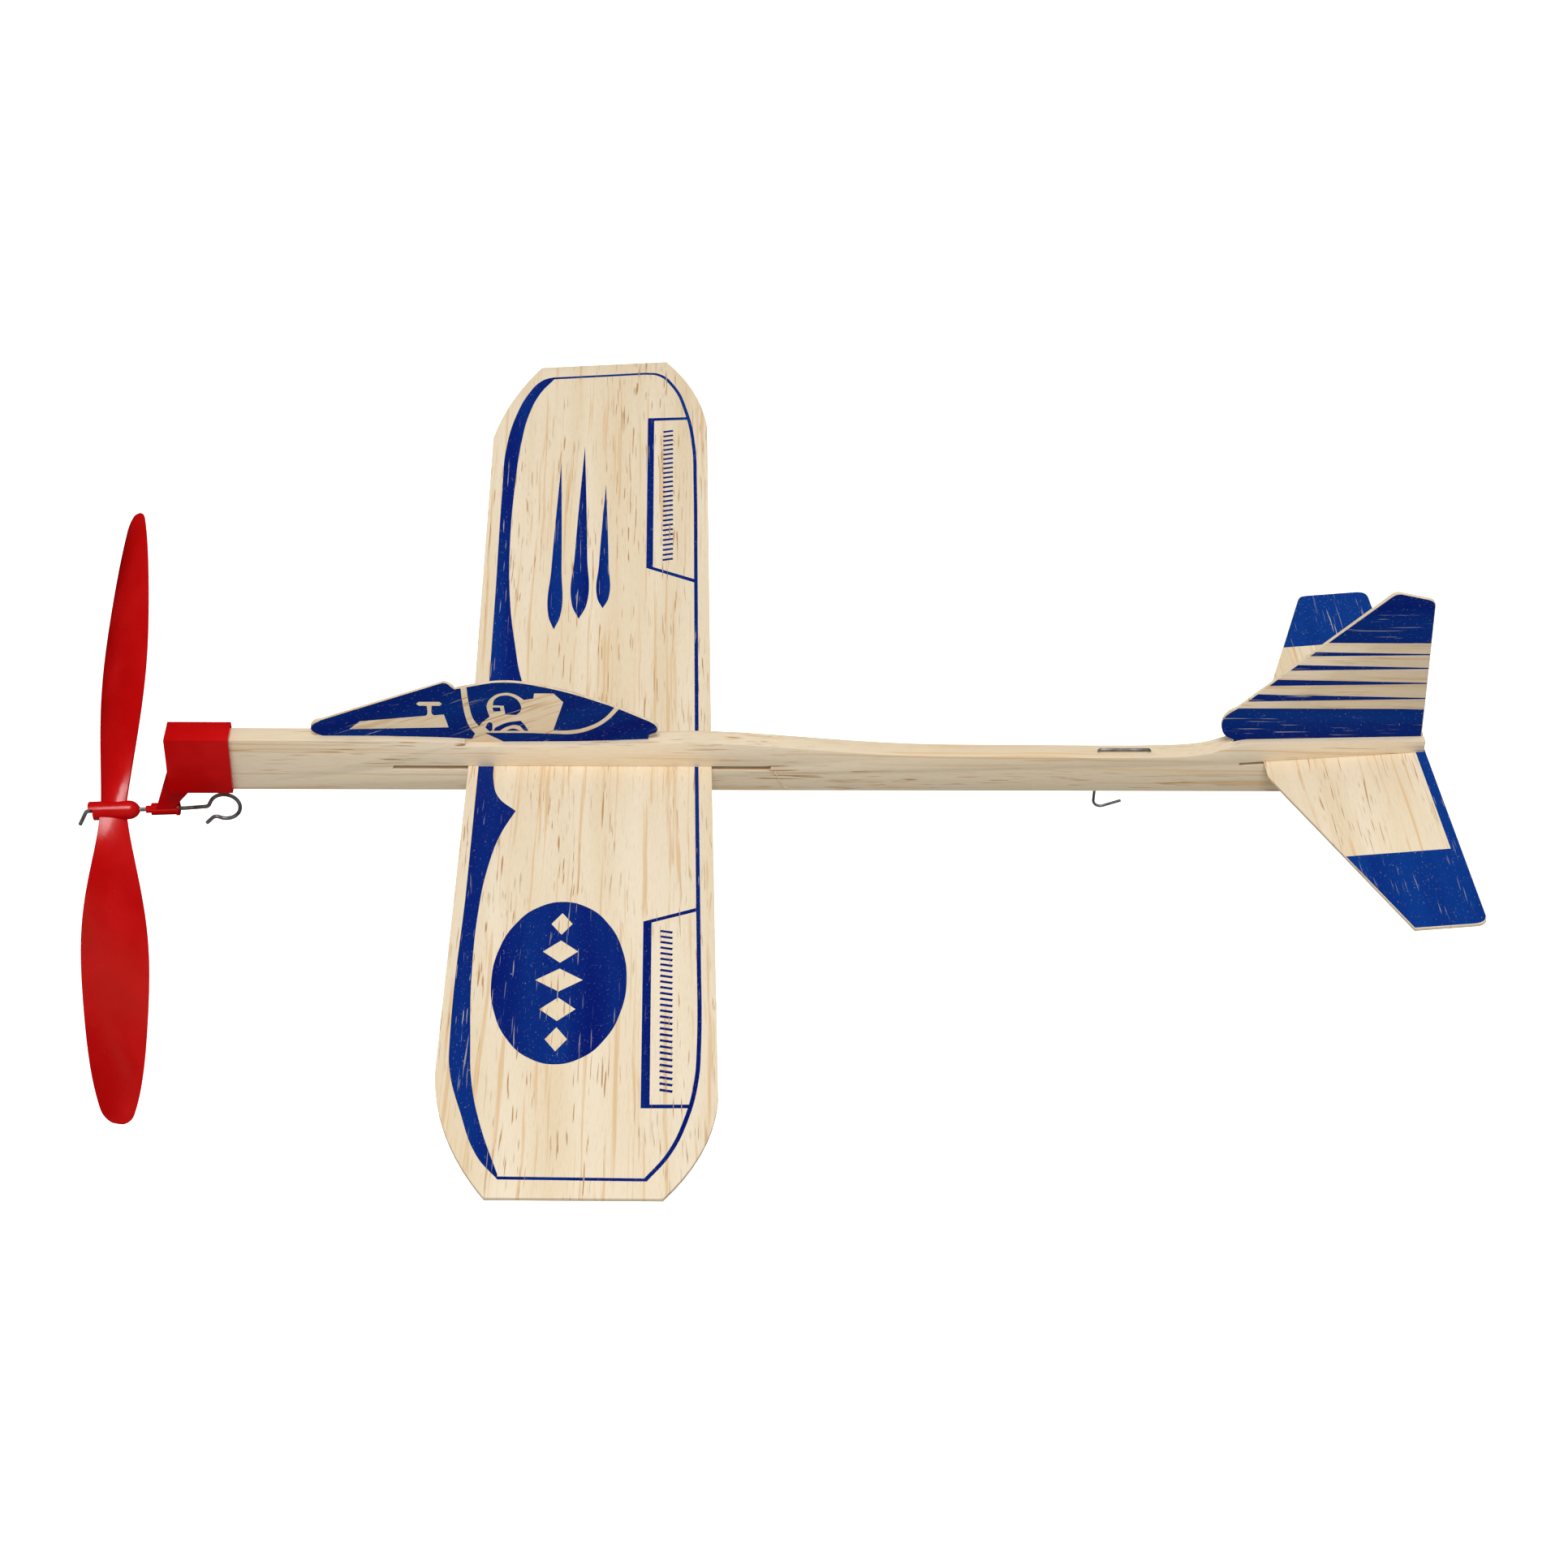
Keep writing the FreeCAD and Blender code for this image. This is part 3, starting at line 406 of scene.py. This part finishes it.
# printing: flat outlines in millimetres, filled and given the ink's own thickness
def inkPrint(name, outlines, place, body, look):
    deselectAll()
    bpy.ops.curve.primitive_bezier_curve_add()
    piece = bpy.context.object
    piece.name = name
    curve = piece.data
    curve.splines.clear()
    curve.dimensions = "2D"
    curve.fill_mode = "BOTH"
    curve.extrude = inkLook["thickness"] / 2
    curve.resolution_u = 10
    for outline in outlines:
        spline = curve.splines.new("BEZIER")
        spline.bezier_points.add(len(outline) - 1)
        spline.use_cyclic_u = True
        for point, corner in zip(spline.bezier_points, outline):
            point.co = (corner[0], corner[1], 0)
            point.handle_left_type = point.handle_right_type = corner[2] if len(corner) > 2 else "VECTOR"
    bpy.ops.object.convert(target="MESH")
    piece.data.transform(place @ Matrix.Scale(mm, 4))
    bpy.ops.object.mode_set(mode="EDIT")
    bpy.ops.mesh.select_all(action="SELECT")
    bpy.ops.mesh.remove_doubles(threshold=0.004 * mm)
    bpy.ops.mesh.normals_make_consistent(inside=False)
    bpy.ops.object.mode_set(mode="OBJECT")
    bpy.ops.object.shade_flat()
    piece.data.materials.append(materials[look])
    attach(piece, body)
    return piece


# a line of even width through the points
def stroke(points, width):
    left, right = [], []
    for i, point in enumerate(points):
        here = Vector(point[:2])
        before = Vector(points[i - 1][:2]) if i else None
        after = Vector(points[i + 1][:2]) if i + 1 < len(points) else None
        inward = (here - before).normalized() if before else (after - here).normalized()
        outward = (after - here).normalized() if after else inward
        along = (inward + outward).normalized()
        across = Vector((-along.y, along.x)) * width / 2 / max(0.5, along.dot(inward))
        left.append((*(here + across), *point[2:]))
        right.append((*(here - across), *point[2:]))
    return left + right[::-1]


def mirrored(outline):
    return [(point[0], -point[1], *point[2:]) for point in outline]


# a diamond about a point, half so long and half so wide
def diamond(x, y, halfX, halfY):
    return [(x - halfX, y), (x, y + halfY), (x + halfX, y), (x, y - halfY)]


# wing: distances behind the leading edge, and along the panel from the middle
wingPrint = {
    "dihedral": 5.1,
    "nearBand": [(2.3, 2.5), (2.4, 52.8), (2.2, 102.8, soft), (2.8, 112.9, soft), (5.5, 125.3, soft),
                 (9.6, 139.0, soft), (13.5, 145.2), (13.5, 143.9), (9.6, 129.7, soft), (7.2, 116.5, soft),
                 (6.2, 102.8, soft), (5.3, 83.6, soft), (5.4, 58.1, soft), (6.6, 41.9, soft),
                 (8.6, 30.0, soft), (11.4, 20.9), (7.5, 15.6, soft), (5.9, 8.0, soft), (5.7, 2.5)],
    "nearLine": [(13.5, 144.9), (40.8, 145.6), (45.0, 138.3, soft), (48.3, 128.1, soft), (50.3, 116.6, soft),
                 (50.9, 106.0, soft), (51.1, 73.5), (51.1, 2.5)],
    "nearBox": [(50.72, 58.0), (39.7, 62.9), (39.7, 124.6), (49.1, 124.6), (49.2, 123.5), (41.4, 123.5),
                (41.4, 63.3), (50.72, 59.3)],
    "farBand": [(3.3, 2.5), (3.3, 62.3), (3.2, 98.0, soft), (3.5, 118.0, soft), (5.6, 132.6, soft),
                (8.6, 142.4, soft), (10.9, 146.7, soft), (12.9, 148.5, soft), (15.0, 149.1), (14.7, 148.2),
                (11.4, 142.0, soft), (8.8, 132.8, soft), (7.2, 120.0, soft), (6.3, 102.6, soft),
                (6.0, 79.2, soft), (6.9, 56.8, soft), (8.7, 40.7, soft), (10.9, 27.2, soft),
                (13.2, 20.5), (8.6, 15.6, soft), (6.9, 8.0, soft), (6.7, 2.5)],
    "farLine": [(14.2, 148.6), (38.6, 151.1), (41.9, 150.6, soft), (45.5, 146.0, soft), (49.1, 134.1, soft),
                (51.0, 119.0, soft), (51.3, 104.0, soft), (51.3, 70.0), (51.2, 2.5)],
    "farBox": [(50.9, 64.0), (39.3, 69.5), (39.3, 131.2), (49.3, 131.8), (49.5, 130.7), (40.9, 130.1),
               (40.9, 69.9), (50.9, 65.3)],
    "lineWidth": 0.85,
    "oval": {"centre": (22.9, 83.4), "half": (13.6, 27.6), "points": 16},
    "diamonds": {"spacing": 9.8, "long": 3.9, "wide": (2.2, 3.6, 4.8, 3.6, 2.2)},
    "streaks": [(17.6, 46.0, 112.0, 3.4), (23.4, 50.0, 119.0, 4.2), (29.0, 54.0, 103.0, 3.2)],
    "ticks": {"aft": 44.5, "long": 2.5, "lean": 0.6, "wide": 0.75, "spacing": 1.95, "count": 28,
              "near": 66.3, "far": 72.6},
}


def wingPlace(side):
    slope = math.radians(wingPrint["dihedral"])
    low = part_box("wing")[0]
    top = low.z + (sheetThickness / math.cos(slope) + inkLook["lift"]) * mm
    return Matrix.Translation((low.x, 0, top)) @ Matrix.Rotation(side * slope, 4, "X")


def ovalOutline():
    oval = wingPrint["oval"]
    turns = [2 * math.pi * i / oval["points"] for i in range(oval["points"])]
    return [(oval["centre"][0] + oval["half"][0] * math.cos(t),
             oval["centre"][1] + oval["half"][1] * math.sin(t), soft) for t in turns]


def diamondRow():
    row, (x, y) = wingPrint["diamonds"], wingPrint["oval"]["centre"]
    return [diamond(x, y + (i - 2) * row["spacing"], wide, row["long"])
            for i, wide in enumerate(row["wide"])]


# a long stripe that swells quickly and thins to a point
def streakOutline(aft, start, end, width):
    widest, waist = start + (end - start) * 0.08, start + (end - start) * 0.35
    return [(aft, start), (aft - width * 0.42, widest, soft), (aft - width * 0.36, waist, soft), (aft, end),
            (aft + width * 0.36, waist, soft), (aft + width * 0.42, widest, soft)]


def tickRow(start):
    ticks = wingPrint["ticks"]
    front, back = ticks["aft"] - ticks["long"] / 2, ticks["aft"] + ticks["long"] / 2
    return [stroke([(front, y), (back, y + ticks["lean"])], ticks["wide"])
            for y in [start + i * ticks["spacing"] for i in range(ticks["count"])]]


nearPrints = {
    "portBand": [wingPrint["nearBand"]],
    "portLine": [stroke(wingPrint["nearLine"], wingPrint["lineWidth"])],
    "portBox": [wingPrint["nearBox"]],
    "portOval": [ovalOutline()] + diamondRow(),
    "portTicks": tickRow(wingPrint["ticks"]["near"]),
}
farPrints = {
    "starboardBand": [wingPrint["farBand"]],
    "starboardLine": [stroke(wingPrint["farLine"], wingPrint["lineWidth"])],
    "starboardBox": [wingPrint["farBox"]],
    "starboardStreaks": [streakOutline(*streak) for streak in wingPrint["streaks"]],
    "starboardTicks": tickRow(wingPrint["ticks"]["far"]),
}
for name, outlines in nearPrints.items():
    inkPrint(name, [mirrored(outline) for outline in outlines], wingPlace(-1), "wing", "sheetInk")
for name, outlines in farPrints.items():
    inkPrint(name, outlines, wingPlace(1), "wing", "sheetInk")
print("wing printed")

# tail: distances from the closed end of its slot, and out from the middle
tailPrint = {
    "slotEnd": (146.5, 7.6),
    "incidence": 4.55,
    "skew": 1.3,
    "port": [(39.8, 2.6), (39.8, 38.0), (17.0, 38.0), (26.5, 63.0), (39.7, 63.05), (41.3, 62.3, soft),
             (41.95, 60.8), (41.95, 2.6)],
    "starboard": [(39.8, 2.6), (39.8, 41.0), (18.0, 41.0), (25.0, 59.9), (25.95, 61.35, soft), (27.5, 61.75),
                  (39.7, 61.75), (41.3, 61.1, soft), (41.95, 59.5), (41.95, 2.6)],
}
tailPlace = (Matrix.Translation((tailPrint["slotEnd"][0] * mm, 0, tailPrint["slotEnd"][1] * mm))
             @ Matrix.Rotation(-math.radians(tailPrint["incidence"]), 4, "Y")
             @ Matrix.Rotation(math.radians(tailPrint["skew"]), 4, "Z")
             @ Matrix.Translation((0, 0, (sheetThickness / 2 + inkLook["lift"]) * mm)))
inkPrint("portTailInk", [mirrored(tailPrint["port"])], tailPlace, "tailplane", "tailInk")
inkPrint("starboardTailInk", [tailPrint["starboard"]], tailPlace, "tailplane", "tailInk")
print("tail printed")


# fin and canopy are printed on both faces: distances along the stick and up from its underside
def printBothSides(name, outlines, look):
    for side, word in ((-1, "Port"), (1, "Starboard")):
        out = side * (sheetThickness / 2 + inkLook["lift"]) * mm
        place = Matrix.Translation((0, out, 0)) @ Matrix.Rotation(math.radians(90), 4, "X")
        inkPrint(name + word, outlines, place, "airframe", look)


finPrint = {
    "lead": (144.95, 21.9, 0.9967),  # a point on the leading edge's print and how fast it runs back
    "trail": (187.45, 13.2, -0.0691),
    "top": 39.8,
    "tip": [(175.1, 51.95), (176.1, 52.6, soft), (177.0, 52.72), (183.5, 51.25), (184.6, 50.55, soft),
            (184.97, 49.4)],
    "stripes": [(37.3, 36.2), (33.8, 32.3), (29.8, 28.1), (25.8, 23.8)],
    "hairline": 0.3,
    "base": [(144.9, 21.9), (142.1, 19.2, soft), (141.8, 16.6, soft), (142.8, 14.4, soft), (144.85, 13.2),
             (144.85, 11.4), (187.35, 13.1), (186.8, 21.9)],
}


def finEdge(edge, z):
    x, start, slope = finPrint[edge]
    return x + (z - start) * slope


def finStripe(top, low):
    middle, half = (top + low) / 2, finPrint["hairline"] / 2
    return [(finEdge("lead", low), low), (finEdge("lead", top), top),
            (finEdge("trail", middle), middle + half), (finEdge("trail", middle), middle - half)]


finTop = finPrint["top"]
printBothSides("finTop", [[(finEdge("lead", finTop), finTop), *finPrint["tip"],
                           (finEdge("trail", finTop), finTop)]], "finInk")
printBothSides("finStripes", [finStripe(*stripe) for stripe in finPrint["stripes"]], "finInk")
printBothSides("finBase", [finPrint["base"]], "finInk")

canopyPrint = {
    "cowl": [(-59.2, 12.9), (-59.4, 13.6), (-61.2, 14.5, soft), (-61.8, 15.8, soft), (-59.6, 17.82),
             (-32.0, 28.2), (-31.1, 27.85, soft), (-30.3, 27.0, soft), (-29.6, 26.4), (-28.25, 26.7),
             (-28.0, 23.0, soft), (-27.4, 18.6, soft), (-26.5, 15.8, soft), (-25.5, 14.3), (-26.2, 12.9)],
    "vent": [(-53.4, 15.4), (-50.9, 17.6), (-36.2, 19.2), (-35.9, 19.7, soft), (-35.9, 21.9), (-37.6, 21.9),
             (-38.1, 22.45, soft), (-37.6, 23.0), (-33.1, 23.0), (-32.6, 22.45, soft), (-33.1, 21.9),
             (-34.8, 21.9), (-34.8, 19.7, soft), (-34.4, 19.3), (-32.2, 19.6), (-31.3, 16.0)],
    "glass": [(-26.95, 27.0), (-19.0, 28.3, soft), (-8.4, 26.62, soft), (3.4, 22.52, soft), (5.6, 21.55),
              (3.0, 18.4, soft), (-0.6, 16.2, soft), (-4.2, 15.3, soft), (-8.1, 15.2), (-5.7, 23.0),
              (-7.8, 25.4), (-12.1, 25.4), (-12.3, 24.0), (-14.4, 23.6), (-16.4, 25.1, soft),
              (-18.9, 25.5, soft), (-21.3, 24.4, soft), (-22.6, 22.3, soft), (-22.5, 20.4, soft),
              (-22.1, 19.0), (-23.6, 17.6), (-24.6, 16.4), (-25.8, 18.5, soft), (-26.5, 22.0, soft)],
    "helmet": [(-21.3, 22.1), (-20.9, 23.6, soft), (-19.0, 24.75, soft), (-16.7, 24.3, soft),
               (-15.3, 22.6, soft), (-15.2, 20.6, soft), (-16.2, 19.5), (-18.6, 19.6), (-18.9, 22.0)],
    "goggles": [(-21.4, 21.5), (-19.7, 21.5), (-19.6, 20.5), (-21.2, 20.4)],
    "arm": [(-20.9, 16.0), (-18.4, 17.3, soft), (-15.3, 17.9), (-14.6, 17.0, soft), (-13.6, 15.1),
            (-14.5, 15.1), (-15.9, 16.6, soft), (-18.2, 16.3, soft), (-20.0, 15.1), (-21.4, 15.1)],
    "lapStrap": [(-18.6, 15.1), (-17.0, 15.7, soft), (-15.4, 15.1)],
    "column": [(-23.2, 16.0), (-22.0, 17.4, soft), (-21.6, 15.3), (-22.2, 14.9)],
    "sill": [(-23.3, 14.5), (-13.6, 14.5), (-8.0, 14.3, soft), (-3.6, 14.3, soft), (0.4, 15.5, soft),
             (4.0, 18.0, soft), (6.6, 21.15), (13.5, 17.65), (14.85, 16.4, soft), (15.0, 15.1, soft),
             (13.2, 13.9), (13.0, 12.4), (-19.2, 12.1)],
}
printBothSides("canopyCowl", [canopyPrint["cowl"], canopyPrint["vent"]], "canopyInk")
printBothSides("canopyGlass", [canopyPrint["glass"]], "canopyInk")
pilotParts = ("helmet", "goggles", "arm", "lapStrap", "column")
printBothSides("canopyPilot", [canopyPrint[part] for part in pilotParts], "canopyInk")
printBothSides("canopySill", [canopyPrint["sill"]], "canopyInk")
print("fin and canopy printed")

# a torn chip where the hook's wire comes out, and a loose fibre at the wing slot's end
chipPiece = {"place": (113.75, 0.0, -0.55), "size": (1.05, 0.55, 0.8), "roughness": 0.22, "seed": 5}
deselectAll()
bpy.ops.mesh.primitive_ico_sphere_add(subdivisions=2, radius=mm, location=(0, 0, 0))
chip = bpy.context.object
chip.name = "tornChip"
bpy.ops.object.mode_set(mode="EDIT")
bpy.ops.transform.resize(value=chipPiece["size"])
bpy.ops.transform.vertex_random(offset=chipPiece["roughness"] * mm, seed=chipPiece["seed"])
bpy.ops.transform.translate(value=[c * mm for c in chipPiece["place"]])
bpy.ops.object.mode_set(mode="OBJECT")
chip.data.materials.append(materials["stick"])
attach(chip, "airframe")

fibrePiece = {"radius": 0.07, "points": [(40.4, -2.3, 6.1), (41.6, -2.75, 5.2), (42.6, -2.9, 3.2),
                                         (43.4, -2.7, 1.6), (44.6, -2.9, 0.9)]}
deselectAll()
bpy.ops.curve.primitive_bezier_curve_add()
fibre = bpy.context.object
fibre.name = "looseFibre"
fibre.data.splines.clear()
spline = fibre.data.splines.new("BEZIER")
spline.bezier_points.add(len(fibrePiece["points"]) - 1)
for point, place in zip(spline.bezier_points, fibrePiece["points"]):
    point.co = [c * mm for c in place]
    point.handle_left_type = point.handle_right_type = soft
fibre.data.bevel_depth = fibrePiece["radius"] * mm
fibre.data.bevel_resolution = 2
fibre.data.use_fill_caps = True
bpy.ops.object.convert(target="MESH")
bpy.ops.object.mode_set(mode="EDIT")
bpy.ops.mesh.select_all(action="SELECT")
bpy.ops.mesh.remove_doubles(threshold=0.002 * mm)
bpy.ops.mesh.normals_make_consistent(inside=False)
bpy.ops.object.mode_set(mode="OBJECT")
fibre.data.materials.append(materials["fin"])
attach(fibre, "airframe")
print("chip and fibre made")

# studio
studio = {
    "floorDrop": 0.30,
    "floorSize": 12.0,
    "floorColor": (0.95, 0.95, 0.95, 1),
    "floorGlow": 0.9,
    "world": 0.42,
}
deselectAll()
bpy.ops.mesh.primitive_plane_add(size=studio["floorSize"], location=(0, 0, -studio["floorDrop"]))
floor = bpy.context.object
floor.name = "studioFloor"
floorMaterial = bpy.data.materials.new("studioFloor")
floorMaterial.use_nodes = True
floorShader = floorMaterial.node_tree.nodes["Principled BSDF"]
floorShader.inputs["Base Color"].default_value = studio["floorColor"]
floorShader.inputs["Roughness"].default_value = 0.9
floorShader.inputs["Specular IOR Level"].default_value = 0.1
floorShader.inputs["Emission Color"].default_value = (1, 1, 1, 1)
floorShader.inputs["Emission Strength"].default_value = studio["floorGlow"]
floor.data.materials.append(floorMaterial)
floor.visible_glossy = False  # shiny pieces mirror the softboxes and not a white floor
floor.visible_diffuse = False  # the floor's glow is for the background and not for the sides

scene.world = bpy.data.worlds.new("studioWorld")
scene.world.use_nodes = True
background = scene.world.node_tree.nodes["Background"]
background.inputs["Color"].default_value = (1, 1, 1, 1)
background.inputs["Strength"].default_value = studio["world"]
scene.world.cycles_visibility.glossy = False

softboxes = {
    "main": {"place": (-0.1, -0.8, 2.05), "aim": (0, 0, 0), "size": 1.1, "power": 33.0},
    "glint": {"place": (-0.7, -0.9, 0.1), "aim": (-0.1, 0, 0), "size": 0.35, "power": 0.15},
}
for name, box in softboxes.items():
    bpy.ops.object.light_add(type="AREA", location=box["place"])
    light = bpy.context.object
    light.name = name
    light.data.size = box["size"]
    light.data.energy = box["power"]
    light.rotation_euler = (Vector(box["aim"]) - Vector(box["place"])).to_track_quat("-Z", "Y").to_euler()
print("studio lit")

deselectAll()
